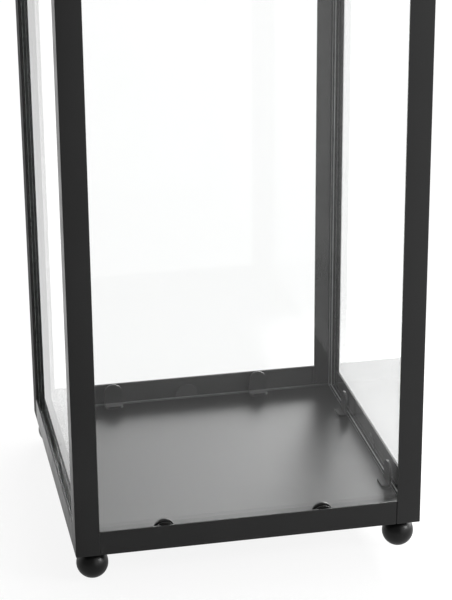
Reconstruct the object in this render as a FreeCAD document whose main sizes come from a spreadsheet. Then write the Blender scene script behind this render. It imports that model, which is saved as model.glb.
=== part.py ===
import FreeCAD, Part
import math
import os
import Sketcher
from FreeCAD import Placement, Rotation, Vector

# A tall square candle lantern: angle-steel posts and rails, four loose glass panes held by
# small welded tabs, four ball feet, and a hipped roof that opens on two hinges at the back.
# Frame: millimetres, +Z up, front towards -Y, origin on the ground under the lantern's centre.

doc = FreeCAD.newDocument("candle_lantern")
sheet = doc.addObject("Spreadsheet::Sheet", "Dims")

DIMENSIONS = [
    ("frame_width", 290, "outside width and depth of the square frame"),
    ("post_height", 560, "length of the corner posts"),
    ("leg_width", 20, "width of each leg of an angle post"),
    ("rail_height", 21, "height of the bottom and top rails"),
    ("steel", 2, "thickness of posts, rails and plates"),
    ("seam", 0.5, "gap between a rail's end and the post beside it"),
    ("fit_gap", 0.1, "clearance between welded or resting neighbours"),
    ("foot_radius", 13.25, "radius of a ball foot"),
    ("foot_flat", 0.25, "height of the flat worn under a ball foot"),
    ("foot_inset", 15, "foot centre to the frame's outer faces"),
    ("foot_bore_depth", 12, "depth of the stud hole in a ball foot"),
    ("stud_radius", 3, "radius of a foot stud"),
    ("stud_room", 1, "room left under a foot stud in its hole"),
    ("glass_thickness", 3, "thickness of a pane"),
    ("glass_inset", 4.2, "frame's outer face to a pane's outer face"),
    ("glass_top_gap", 1.5, "gap over a pane's top edge"),
    ("tab_width", 17, "width of an inner glass tab"),
    ("tab_height", 21.5, "height of an inner glass tab"),
    ("tab_foot", 6.5, "length of a tab's foot beyond its upright"),
    ("stop_width", 22, "width of an outer glass stop"),
    ("stop_height", 12, "height of an outer glass stop"),
    ("stop_round", 7.2, "radius of an outer stop's two rounded corners"),
    ("tall_stop_width", 16, "width of the two taller stops in front of the front tabs"),
    ("tall_stop_height", 20.5, "height of the two taller stops, just above the rail"),
    ("mouth_width", 230, "opening in the top plate, where the candle goes in"),
    ("roof_gap", 0.4, "joint between the frame and the closed roof"),
    ("band_height", 18, "height of the roof's upright band"),
    ("eave_overhang", 13, "how far the eave plate stands out past the band"),
    ("eave_opening", 256, "opening in the eave plate"),
    ("shell_setback", 4, "eave plate's edge to the foot of the roof's slope"),
    ("shell_rise", 62, "height of the sloping roof"),
    ("shell_wall", 3.2, "roof sheet measured level"),
    ("vent_width", 64, "width of the flat top of the sloping roof"),
    ("collar_width", 63, "outside width of the vent collar"),
    ("collar_wall", 1.5, "thickness of the vent collar"),
    ("collar_height", 30, "height of the vent collar"),
    ("slot_width", 6, "width of a vent slot"),
    ("slot_height", 14, "height of a vent slot"),
    ("slot_pitch", 16, "spacing of the vent slots"),
    ("slot_lift", 4, "collar's foot to the slots"),
    ("cap_width", 84, "width of the vent cap"),
    ("cap_flat", 20, "width of the flat on top of the cap"),
    ("cap_rise", 12.4, "height of the cap's slope"),
    ("cap_lip", 6, "height of the cap's upright lip"),
    ("cap_sheet", 1.5, "thickness of the cap"),
    ("boss_radius", 9.5, "radius of the round boss under the eye"),
    ("boss_height", 3, "height of the round boss"),
    ("eye_lift", 11, "boss to the centre of the eye's hole"),
    ("eye_radius", 9, "outside radius of the eye"),
    ("eye_thickness", 6, "thickness of the eye plate"),
    ("eye_hole", 4.6, "radius of the eye's hole"),
    ("ring_radius", 36, "carrying ring, centre to the middle of its wire"),
    ("ring_wire", 4, "radius of the ring's wire"),
    ("ring_tilt", 27, "degrees the resting ring hangs below level"),
    ("hinge_offset", 80, "hinge centre to the lantern's middle plane"),
    ("hinge_width", 40, "width of a hinge"),
    ("leaf_height", 16, "hinge leaf from the joint to its far edge"),
    ("leaf_thickness", 1.5, "thickness of a hinge leaf"),
    ("leaf_setback", 3, "hinge axis to the near edge of a leaf"),
    ("knuckle_radius", 3.2, "outside radius of a hinge knuckle"),
    ("knuckle_stand", 3.5, "hinge axis behind the frame's back face"),
    ("knuckle_gap", 0.2, "end play between knuckles"),
    ("pin_radius", 1.5, "radius of a hinge pin"),
    ("pin_clearance", 0.05, "radial clearance round a hinge pin"),
    ("rivet_radius", 1.5, "radius of a rivet's shank"),
    ("rivet_head", 2.8, "radius of a rivet's head"),
    ("rivet_head_height", 0.8, "height of a rivet's head"),
    ("rivet_offset", 12, "rivet to the hinge's centre"),
    ("latch_drop", 10, "latch pivot below the joint"),
    ("latch_reach", 19.5, "latch pivot to the catch stud"),
    ("latch_width", 12, "width of the latch hook"),
    ("latch_thickness", 2, "thickness of the latch hook"),
    ("latch_stand", 0.6, "gap behind the latch hook"),
    ("latch_pin", 2, "radius of the latch's pivot and catch studs"),
    ("latch_play", 0.8, "room round the catch stud in the hook's slot"),
    ("latch_head", 4, "radius of the latch studs' heads"),
    ("latch_head_thickness", 1.5, "thickness of the latch studs' heads"),
    ("overrun", 5, "how far a cutting tool runs past what it cuts"),
]

# Distance of the two inner tabs from the middle of each side, left one then right one as seen
# from outside: they were placed by hand, so no two sides are quite the same.
TAB_PLACES = {"front": (-71, 62), "right": (-74, 74), "back": (-68, 71), "left": (-70, 70)}
SIDES = ["front", "right", "back", "left"]
CORNERS = ["front_left", "front_right", "back_right", "back_left"]

for row, (alias, value, note) in enumerate(DIMENSIONS, start=1):
    sheet.set("A%d" % row, note)
    sheet.set("B%d" % row, str(value))
    sheet.setAlias("B%d" % row, alias)
doc.recompute()


# Levels and distances worked out from the sheet, as expressions.
HALF = "(Dims.frame_width / 2)"
INSIDE = "(Dims.frame_width / 2 - Dims.steel - Dims.fit_gap)"
FRAME_Z = "(2 * Dims.foot_radius - Dims.foot_flat)"
FLOOR_Z = "(%s + Dims.steel)" % FRAME_Z
TOP_Z = "(%s + Dims.post_height)" % FRAME_Z
CEILING_Z = "(%s - Dims.steel)" % TOP_Z
BAND_Z = "(%s + Dims.roof_gap)" % TOP_Z
EAVE_Z = "(%s + Dims.band_height)" % BAND_Z
SHELL_Z = "(%s + Dims.steel)" % EAVE_Z
VENT_Z = "(%s + Dims.shell_rise)" % SHELL_Z
CAP_SLOPE = "(2 * Dims.cap_rise / (Dims.cap_width - Dims.cap_flat))"
CAP_SKIN = "(Dims.cap_sheet * sqrt(1 + %s ^ 2))" % CAP_SLOPE
COLLAR_IN_CAP = (
    "(Dims.cap_lip + (Dims.cap_width - Dims.collar_width) / 2 * %s - %s - Dims.fit_gap)"
    % (CAP_SLOPE, CAP_SKIN)
)
CAP_Z = "(%s + Dims.collar_height - %s)" % (VENT_Z, COLLAR_IN_CAP)
CAP_TOP_Z = "(%s + Dims.cap_lip + Dims.cap_rise)" % CAP_Z
BOSS_TOP_Z = "(%s + Dims.boss_height)" % CAP_TOP_Z
EYE_Z = "(%s + Dims.eye_lift)" % BOSS_TOP_Z
GLASS_OUT = "(%s - Dims.glass_inset)" % HALF
GLASS_IN = "(%s - Dims.glass_thickness)" % GLASS_OUT
TAB_FACE = "(%s - Dims.fit_gap)" % GLASS_IN
HINGE_Y = "(%s + Dims.knuckle_stand)" % HALF
HINGE_Z = "(%s + Dims.roof_gap / 2)" % TOP_Z
LATCH_Z = "(%s - Dims.latch_drop)" % TOP_Z
CATCH_Z = "(%s + Dims.latch_reach)" % LATCH_Z
LATCH_BACK = "(%s + Dims.latch_stand)" % HALF
LATCH_FACE = "(%s + Dims.latch_thickness)" % LATCH_BACK

RAIL_END = "(%s - Dims.leg_width - Dims.seam)" % HALF
LEAF_MIDDLE = "(Dims.leaf_height + Dims.leaf_setback) / 2"
FRAME_RIVET_Z = "(%s - %s)" % (HINGE_Z, LEAF_MIDDLE)
ROOF_RIVET_Z = "(%s + %s)" % (HINGE_Z, LEAF_MIDDLE)
HINGE_PLACES = {"right": "Dims.hinge_offset", "left": "-Dims.hinge_offset"}

subparts = []


def finish(obj, label, turn=0):
    """Names a sub-part and turns it about the lantern's vertical axis."""
    obj.Label = label
    if turn:
        obj.Placement = Placement(Vector(0, 0, 0), Rotation(Vector(0, 0, 1), turn))
    subparts.append(obj)
    return obj


def box(x, y, z):
    """A block between pairs of expressions along X, Y and Z."""
    made = doc.addObject("Part::Box", "block")
    for size, axis, (low, high) in (("Length", "x", x), ("Width", "y", y), ("Height", "z", z)):
        made.setExpression(size, "(%s) - (%s)" % (high, low))
        made.setExpression("Placement.Base." + axis, low)
    return made


def drill(axis, radius, low, high, **place):
    """A round cutter that runs past both ends of a stretch along one axis."""
    return rod(axis, radius, "%s - Dims.overrun" % low,
               "(%s) - (%s) + 2 * Dims.overrun" % (high, low), **place)


def rod(axis, radius, start, length, x="0", y="0", z="0"):
    """A round bar along one axis: start is where it begins on that axis."""
    turns = {"x": Rotation(Vector(0, 1, 0), 90), "y": Rotation(Vector(1, 0, 0), -90),
             "z": Rotation()}
    made = doc.addObject("Part::Cylinder", "rod")
    made.Placement = Placement(Vector(0, 0, 0), turns[axis])
    made.setExpression("Radius", radius)
    made.setExpression("Height", length)
    base = {"x": x, "y": y, "z": z, axis: start}
    for key, place in base.items():
        made.setExpression("Placement.Base." + key, place)
    return made


def pyramid(foot_half, top_half, low, high):
    """An upright square block whose sides lean in, from one half-width to another."""
    made = doc.addObject("Part::Wedge", "pyramid")
    made.Placement = Placement(Vector(0, 0, 0), Rotation(Vector(1, 0, 0), 90))
    for name, half in (("X", foot_half), ("Z", foot_half), ("X2", top_half), ("Z2", top_half)):
        made.setExpression(name + "min", "-(%s)" % half)
        made.setExpression(name + "max", "(%s)" % half)
    made.Ymin = 0
    made.setExpression("Ymax", "(%s) - (%s)" % (high, low))
    made.setExpression("Placement.Base.z", low)
    return made


def fuse(*shapes):
    made = doc.addObject("Part::MultiFuse", "fuse")
    made.Shapes = list(shapes)
    return made


def cut(base, *tools):
    made = doc.addObject("Part::Cut", "cut")
    made.Base = base
    made.Tool = tools[0] if len(tools) == 1 else fuse(*tools)
    return made


def common(first, second):
    made = doc.addObject("Part::Common", "common")
    made.Base = first
    made.Tool = second
    return made


def group(*shapes):
    made = doc.addObject("Part::Compound", "group")
    made.Links = list(shapes)
    return made


def square_ring(outer_half, inner_half, low, high):
    """A flat square plate or band with a square opening through it."""
    outer = box(("-" + outer_half, outer_half), ("-" + outer_half, outer_half), (low, high))
    inner = box(("-" + inner_half, inner_half), ("-" + inner_half, inner_half),
                (low + " - Dims.overrun", high + " + Dims.overrun"))
    return cut(outer, inner)


def origin_plane(body, role):
    """One of a body's own origin planes."""
    return next(f for f in body.Origin.OriginFeatures if f.Role == role)


def outline(sketch, corners):
    """A closed outline through corners whose two coordinates are expressions."""
    count = len(corners)
    rough = [Vector(10 * math.cos(2 * math.pi * i / count), 10 * math.sin(2 * math.pi * i / count))
             for i in range(count)]
    for i in range(count):
        sketch.addGeometry(Part.LineSegment(rough[i], rough[(i + 1) % count]), False)
    for i, corner in enumerate(corners):
        sketch.addConstraint(Sketcher.Constraint("Coincident", i, 2, (i + 1) % count, 1))
        for kind, place, guess in zip(("DistanceX", "DistanceY"), corner, rough[i]):
            number = sketch.addConstraint(Sketcher.Constraint(kind, -1, 1, i, 1, guess))
            sketch.setExpression("Constraints[%d]" % number, place)


def padded_body(label, corners, low, height):
    """A body drawn as an outline seen from above and raised from one level."""
    body = doc.addObject("PartDesign::Body", label + "_body")
    sketch = body.newObject("Sketcher::SketchObject", label + "_outline")
    sketch.AttachmentSupport = [(origin_plane(body, "XY_Plane"), "")]
    sketch.MapMode = "FlatFace"
    sketch.setExpression("AttachmentOffset.Base.z", low)
    outline(sketch, corners)
    pad = body.newObject("PartDesign::Pad", label + "_pad")
    pad.Profile = sketch
    pad.setExpression("Length", height)
    body.Tip = pad
    return body


def rectangle(x, y):
    """The corners of a rectangle between pairs of expressions."""
    return [(x[0], y[0]), (x[1], y[0]), (x[1], y[1]), (x[0], y[1])]


# --- Frame ---------------------------------------------------------------------------------

def corner_post(label, turn):
    """An angle post, drawn at the front left corner and turned to its own."""
    edge = "-" + HALF
    tip = "-%s + Dims.leg_width" % HALF
    web = "-%s + Dims.steel" % HALF
    corners = [(edge, edge), (tip, edge), (tip, web), (web, web), (web, tip), (edge, tip)]
    finish(padded_body(label, corners, FRAME_Z, "Dims.post_height"), label, turn)


for quarter, corner in enumerate(CORNERS):
    corner_post("post_" + corner, 90 * quarter)


def rivet_places(level):
    """Where the four rivets of one row of hinge leaves go, as X and Z expressions."""
    return [("%s + %s * Dims.rivet_offset" % (hinge, side), level)
            for hinge in HINGE_PLACES.values() for side in (-1, 1)]


def rivet_holes(level):
    """Holes for one row of rivets, through the rail or band and the hinge leaves."""
    return [drill("y", "Dims.rivet_radius + Dims.pin_clearance", "(%s - Dims.steel)" % HALF,
                  "%s + Dims.leaf_thickness" % HALF, x=x, z=z)
            for x, z in rivet_places(level)]


def rail(label, turn, low, holed=False):
    """A flat rail between two posts, drawn at the front and turned to its own side."""
    across = ("-" + RAIL_END, RAIL_END)
    through = ("-" + HALF, "-%s + Dims.steel" % HALF)
    bar = padded_body(label, rectangle(across, through), low, "Dims.rail_height")
    if not holed:
        return finish(bar, label, turn)
    bar.Placement = Placement(Vector(0, 0, 0), Rotation(Vector(0, 0, 1), turn))
    return finish(cut(bar, *rivet_holes(FRAME_RIVET_Z)), label)


for quarter, side in enumerate(SIDES):
    rail("bottom_rail_" + side, 90 * quarter, FRAME_Z)
    rail("top_rail_" + side, 90 * quarter, "%s - Dims.rail_height" % TOP_Z, side == "back")

ACROSS = ("-" + INSIDE, INSIDE)
finish(padded_body("floor_plate", rectangle(ACROSS, ACROSS), FRAME_Z, "Dims.steel"),
       "floor_plate")
finish(square_ring(INSIDE, "(Dims.mouth_width / 2)", CEILING_Z, TOP_Z), "top_plate")


# --- Ball feet -----------------------------------------------------------------------------

FOOT_PLACE = "(%s - Dims.foot_inset)" % HALF
FOOT_Z = "(Dims.foot_radius - Dims.foot_flat)"


def ball_foot(label, x_sign, y_sign):
    """A ball with a flat to stand on and a blind hole for its stud."""
    x, y = x_sign + FOOT_PLACE, y_sign + FOOT_PLACE
    ball = doc.addObject("Part::Sphere", "ball")
    ball.setExpression("Radius", "Dims.foot_radius")
    for axis, place in (("x", x), ("y", y), ("z", FOOT_Z)):
        ball.setExpression("Placement.Base." + axis, place)
    under = box((x + " - Dims.foot_radius", x + " + Dims.foot_radius"),
                (y + " - Dims.foot_radius", y + " + Dims.foot_radius"), ("-Dims.overrun", "0"))
    bore = rod("z", "Dims.stud_radius + Dims.pin_clearance", FRAME_Z + " - Dims.foot_bore_depth",
               "Dims.foot_bore_depth + Dims.overrun", x=x, y=y)
    finish(cut(ball, under, bore), label)


CORNER_SIGNS = {"front_left": ("-", "-"), "front_right": ("", "-"),
                "back_right": ("", ""), "back_left": ("-", "")}
for corner, (x_sign, y_sign) in CORNER_SIGNS.items():
    ball_foot("ball_foot_" + corner, x_sign, y_sign)

STUD_LENGTH = "(Dims.foot_bore_depth - Dims.stud_room)"
finish(group(*[
    rod("z", "Dims.stud_radius", "%s - %s" % (FRAME_Z, STUD_LENGTH), STUD_LENGTH,
        x=x_sign + FOOT_PLACE, y=y_sign + FOOT_PLACE)
    for x_sign, y_sign in CORNER_SIGNS.values()]), "foot_studs")


# --- Glass and what holds it ---------------------------------------------------------------

def pane(label, turn, half_across):
    """A pane standing on the floor plate just inside the rails."""
    across = ("-" + half_across, half_across)
    through = ("-" + GLASS_OUT, "-" + GLASS_IN)
    height = "%s - %s - Dims.glass_top_gap" % (CEILING_Z, FLOOR_Z)
    finish(padded_body(label, rectangle(across, through), FLOOR_Z, height), label, turn)


SIDE_PANE = "(%s - Dims.fit_gap)" % GLASS_IN
pane("glass_front", 0, GLASS_OUT)
pane("glass_right", 90, SIDE_PANE)
pane("glass_back", 180, GLASS_OUT)
pane("glass_left", 270, SIDE_PANE)


def inner_tab(place, plate, way):
    """A round-ended tab behind the front pane; way is 1 on the floor and -1 under the top."""
    half = "Dims.tab_width / 2"
    sides = ("%s - %s" % (place, half), "%s + %s" % (place, half))
    face = ("-" + TAB_FACE, "-%s + Dims.steel" % TAB_FACE)
    foot = ("-%s + Dims.steel" % TAB_FACE, "-%s + Dims.steel + Dims.tab_foot" % TAB_FACE)
    middle = "%s + %s * (Dims.tab_height - %s)" % (plate, way, half)
    tread = "%s + %s * Dims.steel" % (plate, way)
    upright = box(sides, face, (plate, middle) if way > 0 else (middle, plate))
    tongue = box(sides, foot, (plate, tread) if way > 0 else (tread, plate))
    end = rod("y", half, face[0], "Dims.steel", x=str(place), z=middle)
    return fuse(upright, end, tongue)


def outer_stop(place, width, height, plate, way):
    """A D-shaped stop in the gap between the front rail and its pane."""
    corner = "Dims.stop_round"
    inset = "(%s / 2 - %s)" % (width, corner)
    sides = ("%s - %s / 2" % (place, width), "%s + %s / 2" % (place, width))
    narrow = ("%s - %s" % (place, inset), "%s + %s" % (place, inset))
    through = ("-%s + Dims.steel + Dims.fit_gap" % HALF, "-%s - Dims.fit_gap" % GLASS_OUT)
    depth = "%s - (%s)" % (through[1], through[0])
    shoulder = "%s + %s * (%s - %s)" % (plate, way, height, corner)
    crest = "%s + %s * %s" % (plate, way, height)
    low = box(sides, through, (plate, shoulder) if way > 0 else (shoulder, plate))
    high = box(narrow, through, (shoulder, crest) if way > 0 else (crest, shoulder))
    rounds = [rod("y", corner, through[0], depth, x=middle, z=shoulder) for middle in narrow]
    keep = box(sides, through, (plate, crest) if way > 0 else (crest, plate))
    return common(fuse(low, high, *rounds), keep)


def outer_stops(side, plate, way):
    """A side's low middle stop, and at the front one taller stop before each inner tab."""
    stops = [outer_stop("0", "Dims.stop_width", "Dims.stop_height", plate, way)]
    if side == "front":
        stops += [outer_stop(place, "Dims.tall_stop_width", "Dims.tall_stop_height", plate, way)
                  for place in TAB_PLACES[side]]
    return group(*stops)


for level, plate, way in (("bottom", FLOOR_Z, 1), ("top", CEILING_Z, -1)):
    for quarter, side in enumerate(SIDES):
        tabs = group(*[inner_tab(place, plate, way) for place in TAB_PLACES[side]])
        finish(tabs, "%s_tabs_%s" % (level, side), 90 * quarter)
        finish(outer_stops(side, plate, way), "%s_stop_%s" % (level, side), 90 * quarter)


# --- Roof ----------------------------------------------------------------------------------

def mitred(ring_piece, half, low, height):
    """A square hollow piece cut along its diagonals into the four sheets it is welded from."""
    reach = "(%s + Dims.overrun)" % half
    sheets = []
    for x_signs, y_signs in ((("-", ""), ("-", "-")), (("", ""), ("-", "")),
                             (("", "-"), ("", "")), (("-", "-"), ("", "-"))):
        corners = [("0", "0"), (x_signs[0] + reach, y_signs[0] + reach),
                   (x_signs[1] + reach, y_signs[1] + reach)]
        sheets.append(common(ring_piece, padded_body("mitre", corners, low, height)))
    return group(*sheets)


band = square_ring(HALF, "(%s - Dims.steel)" % HALF, BAND_Z, EAVE_Z)
finish(cut(band, *rivet_holes(ROOF_RIVET_Z)), "roof_band")

EAVE_HALF = "(%s + Dims.eave_overhang)" % HALF
finish(square_ring(EAVE_HALF, "(Dims.eave_opening / 2)", EAVE_Z, SHELL_Z), "eave_plate")

SHELL_HALF = "(%s - Dims.shell_setback)" % EAVE_HALF
VENT_HALF = "(Dims.vent_width / 2)"
shell = cut(pyramid(SHELL_HALF, VENT_HALF, SHELL_Z, VENT_Z),
            pyramid("(%s - Dims.shell_wall)" % SHELL_HALF, "(%s - Dims.shell_wall)" % VENT_HALF,
                    SHELL_Z, VENT_Z))
finish(mitred(shell, SHELL_HALF, SHELL_Z, "Dims.shell_rise"), "roof_shell")

COLLAR_HALF = "(Dims.collar_width / 2)"
collar = square_ring(COLLAR_HALF, "(%s - Dims.collar_wall)" % COLLAR_HALF,
                     VENT_Z, "%s + Dims.collar_height" % VENT_Z)
slots = []
for step in (-1, 0, 1):
    span = ("%s * Dims.slot_pitch - Dims.slot_width / 2" % step,
            "%s * Dims.slot_pitch + Dims.slot_width / 2" % step)
    rise = ("%s + Dims.slot_lift" % VENT_Z, "%s + Dims.slot_lift + Dims.slot_height" % VENT_Z)
    through = ("-Dims.collar_width / 2 - Dims.overrun", "Dims.collar_width / 2 + Dims.overrun")
    slots += [box(span, through, rise), box(through, span, rise)]
finish(mitred(cut(collar, *slots), COLLAR_HALF, VENT_Z, "Dims.collar_height"), "vent_collar")

CAP_HALF = "(Dims.cap_width / 2)"
CAP_FLAT = "(Dims.cap_flat / 2)"
LIP_IN = "(%s - Dims.cap_sheet)" % CAP_HALF
LIP_Z = "(%s + Dims.cap_lip)" % CAP_Z
LINING_Z = "(%s + Dims.cap_sheet * %s - %s)" % (LIP_Z, CAP_SLOPE, CAP_SKIN)
outside = fuse(box(("-" + CAP_HALF, CAP_HALF), ("-" + CAP_HALF, CAP_HALF), (CAP_Z, LIP_Z)),
               pyramid(CAP_HALF, CAP_FLAT, LIP_Z, CAP_TOP_Z))
inside = fuse(box(("-" + LIP_IN, LIP_IN), ("-" + LIP_IN, LIP_IN),
                  (CAP_Z + " - Dims.overrun", LINING_Z)),
              pyramid(LIP_IN, CAP_FLAT, LINING_Z, "%s - %s" % (CAP_TOP_Z, CAP_SKIN)))
finish(mitred(cut(outside, inside), CAP_HALF, CAP_Z, "Dims.cap_lip + Dims.cap_rise"), "vent_cap")

finish(rod("z", "Dims.boss_radius", CAP_TOP_Z, "Dims.boss_height"), "ring_boss")

EYE_SIDE = "(Dims.eye_thickness / 2)"
stem = box(("-" + EYE_SIDE, EYE_SIDE), ("-Dims.eye_radius", "Dims.eye_radius"),
           (BOSS_TOP_Z, EYE_Z))
head = rod("x", "Dims.eye_radius", "-" + EYE_SIDE, "Dims.eye_thickness", z=EYE_Z)
hole = drill("x", "Dims.eye_hole", "-" + EYE_SIDE, EYE_SIDE, z=EYE_Z)
finish(cut(fuse(stem, head), hole), "ring_eye")

ring = doc.addObject("Part::Torus", "ring")
ring.Placement = Placement(Vector(0, 0, 0), Rotation(Vector(1, 0, 0), 1))
ring.setExpression("Placement.Rotation.Angle", "Dims.ring_tilt * 1 deg")
ring.setExpression("Radius1", "Dims.ring_radius")
ring.setExpression("Radius2", "Dims.ring_wire")
ring.setExpression("Placement.Base.y", "-Dims.ring_radius * cos(Dims.ring_tilt * 1 deg)")
ring.setExpression("Placement.Base.z",
                   "%s - Dims.ring_radius * sin(Dims.ring_tilt * 1 deg)" % EYE_Z)
finish(ring, "carrying_ring")


# --- Hinges --------------------------------------------------------------------------------

LEAF = (HALF, "%s + Dims.leaf_thickness" % HALF)


def hinge_leaf(label, middle, way, knuckles):
    """A leaf on the back face with its knuckles; way is -1 below the joint and 1 above."""
    half = "Dims.hinge_width / 2"
    near = "%s + %s * Dims.leaf_setback" % (HINGE_Z, way)
    far = "%s + %s * Dims.leaf_height" % (HINGE_Z, way)
    sides = ("%s - %s" % (middle, half), "%s + %s" % (middle, half))
    solids = [box(sides, LEAF, (near, far) if way > 0 else (far, near))]
    for low, high in knuckles:
        span = ("%s + %s" % (middle, low), "%s + %s" % (middle, high))
        solids.append(box(span, LEAF, (HINGE_Z, near) if way > 0 else (near, HINGE_Z)))
        solids.append(rod("x", "Dims.knuckle_radius", span[0], "%s - (%s)" % (high, low),
                          y=HINGE_Y, z=HINGE_Z))
    bore = drill("x", "Dims.pin_radius + Dims.pin_clearance", "(%s)" % sides[0], sides[1],
                 y=HINGE_Y, z=HINGE_Z)
    holes = rivet_holes(FRAME_RIVET_Z if way < 0 else ROOF_RIVET_Z)
    finish(cut(fuse(*solids), bore, *holes), label)


THIRD = "Dims.hinge_width / 6"
OUTER_KNUCKLES = [("-Dims.hinge_width / 2", "-%s - Dims.knuckle_gap / 2" % THIRD),
                  ("%s + Dims.knuckle_gap / 2" % THIRD, "Dims.hinge_width / 2")]
MIDDLE_KNUCKLE = [("-%s + Dims.knuckle_gap / 2" % THIRD, "%s - Dims.knuckle_gap / 2" % THIRD)]
for name, middle in HINGE_PLACES.items():
    hinge_leaf("hinge_frame_leaf_" + name, middle, -1, OUTER_KNUCKLES)
    hinge_leaf("hinge_roof_leaf_" + name, middle, 1, MIDDLE_KNUCKLE)
    finish(rod("x", "Dims.pin_radius", "%s - Dims.hinge_width / 2" % middle,
               "Dims.hinge_width", y=HINGE_Y, z=HINGE_Z), "hinge_pin_" + name)


def rivets(label, level):
    """A row of four rivets through the hinge leaves: shank, outer head and closed inner head."""
    inner = "%s - Dims.steel" % HALF
    outer = LEAF[1]
    made = []
    for x, z in rivet_places(level):
        shank = rod("y", "Dims.rivet_radius", inner, "%s - (%s)" % (outer, inner), x=x, z=z)
        head = rod("y", "Dims.rivet_head", outer, "Dims.rivet_head_height", x=x, z=z)
        closed = rod("y", "Dims.rivet_head", inner + " - Dims.rivet_head_height",
                     "Dims.rivet_head_height", x=x, z=z)
        made.append(fuse(shank, head, closed))
    finish(group(*made), label)


rivets("hinge_rivets_frame", FRAME_RIVET_Z)
rivets("hinge_rivets_roof", ROOF_RIVET_Z)


# --- Latch ---------------------------------------------------------------------------------

HOOK_HALF = "Dims.latch_width / 2"
HOOK_SPAN = ("-" + LATCH_FACE, "-" + LATCH_BACK)
HOOK_TIP_Z = "(%s - Dims.latch_reach)" % LATCH_Z
SLOT_HALF = "(Dims.latch_pin + Dims.latch_play)"


def hook_drill(radius, level):
    """A round cutter through the hook."""
    return drill("y", radius, HOOK_SPAN[0], HOOK_SPAN[1], z=level)


blank = fuse(
    box(("-" + HOOK_HALF, HOOK_HALF), HOOK_SPAN, (HOOK_TIP_Z, LATCH_Z)),
    rod("y", HOOK_HALF, HOOK_SPAN[0], "Dims.latch_thickness", z=LATCH_Z),
    rod("y", HOOK_HALF, HOOK_SPAN[0], "Dims.latch_thickness", z=HOOK_TIP_Z))
sweep = cut(hook_drill("Dims.latch_reach + " + SLOT_HALF, LATCH_Z),
            hook_drill("Dims.latch_reach - " + SLOT_HALF, LATCH_Z))
entry_side = box(("0", "Dims.latch_width"),
                 (HOOK_SPAN[0] + " - Dims.overrun", HOOK_SPAN[1] + " + Dims.overrun"),
                 ("%s - Dims.latch_width" % HOOK_TIP_Z, LATCH_Z))
finish(cut(blank, common(sweep, entry_side), hook_drill(SLOT_HALF, HOOK_TIP_Z),
           hook_drill("Dims.latch_pin + Dims.pin_clearance", LATCH_Z)), "latch_hook")


def latch_stud(label, level):
    """A headed stud welded to the front, long enough for the hook to turn behind its head."""
    head_face = "-%s - Dims.latch_stand / 2" % LATCH_FACE
    shank = rod("y", "Dims.latch_pin", head_face, "-%s - (%s)" % (HALF, head_face), z=level)
    head = rod("y", "Dims.latch_head", head_face + " - Dims.latch_head_thickness",
               "Dims.latch_head_thickness", z=level)
    finish(fuse(shank, head), label)


latch_stud("latch_pivot_stud", LATCH_Z)
latch_stud("latch_catch_stud", CATCH_Z)


# --- Check and write -----------------------------------------------------------------------

doc.recompute()
for obj in doc.Objects:
    if "Invalid" in obj.State or "Error" in obj.State:
        raise RuntimeError("%s (%s) did not build: %s" % (obj.Label, obj.Name, obj.State))
os.makedirs("parts", exist_ok=True)
for obj in subparts:
    if obj.Shape.isNull() or not obj.Shape.isValid():
        raise RuntimeError(obj.Label + " has no valid shape")
    obj.Shape.exportStep(os.path.join("parts", obj.Label + ".step"))
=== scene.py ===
import math

import bmesh
import bpy
from mathutils import Matrix, Vector


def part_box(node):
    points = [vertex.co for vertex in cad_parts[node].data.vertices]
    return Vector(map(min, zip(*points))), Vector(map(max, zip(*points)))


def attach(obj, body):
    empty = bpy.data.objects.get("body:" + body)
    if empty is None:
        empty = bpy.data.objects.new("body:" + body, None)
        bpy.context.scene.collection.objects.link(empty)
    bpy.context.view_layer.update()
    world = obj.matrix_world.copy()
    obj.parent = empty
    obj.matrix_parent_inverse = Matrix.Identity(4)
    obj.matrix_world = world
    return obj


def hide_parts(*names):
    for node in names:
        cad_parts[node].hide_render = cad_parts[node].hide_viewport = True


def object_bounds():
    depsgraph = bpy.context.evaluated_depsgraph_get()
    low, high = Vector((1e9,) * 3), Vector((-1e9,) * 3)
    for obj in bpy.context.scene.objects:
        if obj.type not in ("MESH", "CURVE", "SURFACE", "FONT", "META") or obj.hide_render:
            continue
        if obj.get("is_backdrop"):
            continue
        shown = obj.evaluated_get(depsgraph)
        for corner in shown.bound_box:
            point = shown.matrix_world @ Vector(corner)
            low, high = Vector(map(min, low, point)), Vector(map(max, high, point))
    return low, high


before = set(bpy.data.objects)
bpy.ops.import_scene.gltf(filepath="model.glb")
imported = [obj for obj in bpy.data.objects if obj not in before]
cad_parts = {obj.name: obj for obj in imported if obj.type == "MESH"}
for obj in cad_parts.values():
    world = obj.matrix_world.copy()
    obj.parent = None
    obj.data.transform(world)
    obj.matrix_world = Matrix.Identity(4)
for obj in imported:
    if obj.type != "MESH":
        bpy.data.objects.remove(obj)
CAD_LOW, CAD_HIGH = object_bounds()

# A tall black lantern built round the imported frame, in metres. Only the foot studs, which can't
# be seen from outside, keep their CAD mesh.

MM = 0.001
SIDES = ["front", "right", "back", "left"]
CORNERS = ["front_left", "front_right", "back_right", "back_left"]

FOLD_RADIUS = 0.8 * MM      # outside radius of a folded sheet edge
INNER_FOLD = 0.4 * MM       # inside radius of a post's fold
TAB_WIDTH = 17 * MM
TAB_BEND = 3.2 * MM         # inside radius of a tab's bend
TAB_TOE = 2.6 * MM          # radius of the corners of a tab's foot
STOP_CROWN = 0.8 * MM       # half width of an outer stop's flat top, between two round corners
LOW_STOP = (22 * MM, 12 * MM)     # width and height of the outer stop in the middle of a side
TALL_STOP = (16 * MM, 20.5 * MM)  # and of the two in front of the front tabs
BEAD_WIDTH = 4 * MM         # weld beads behind the seams between rails and posts
BEAD_RISE = 0.9 * MM
BEAD_SUNK = 0.8 * MM
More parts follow.
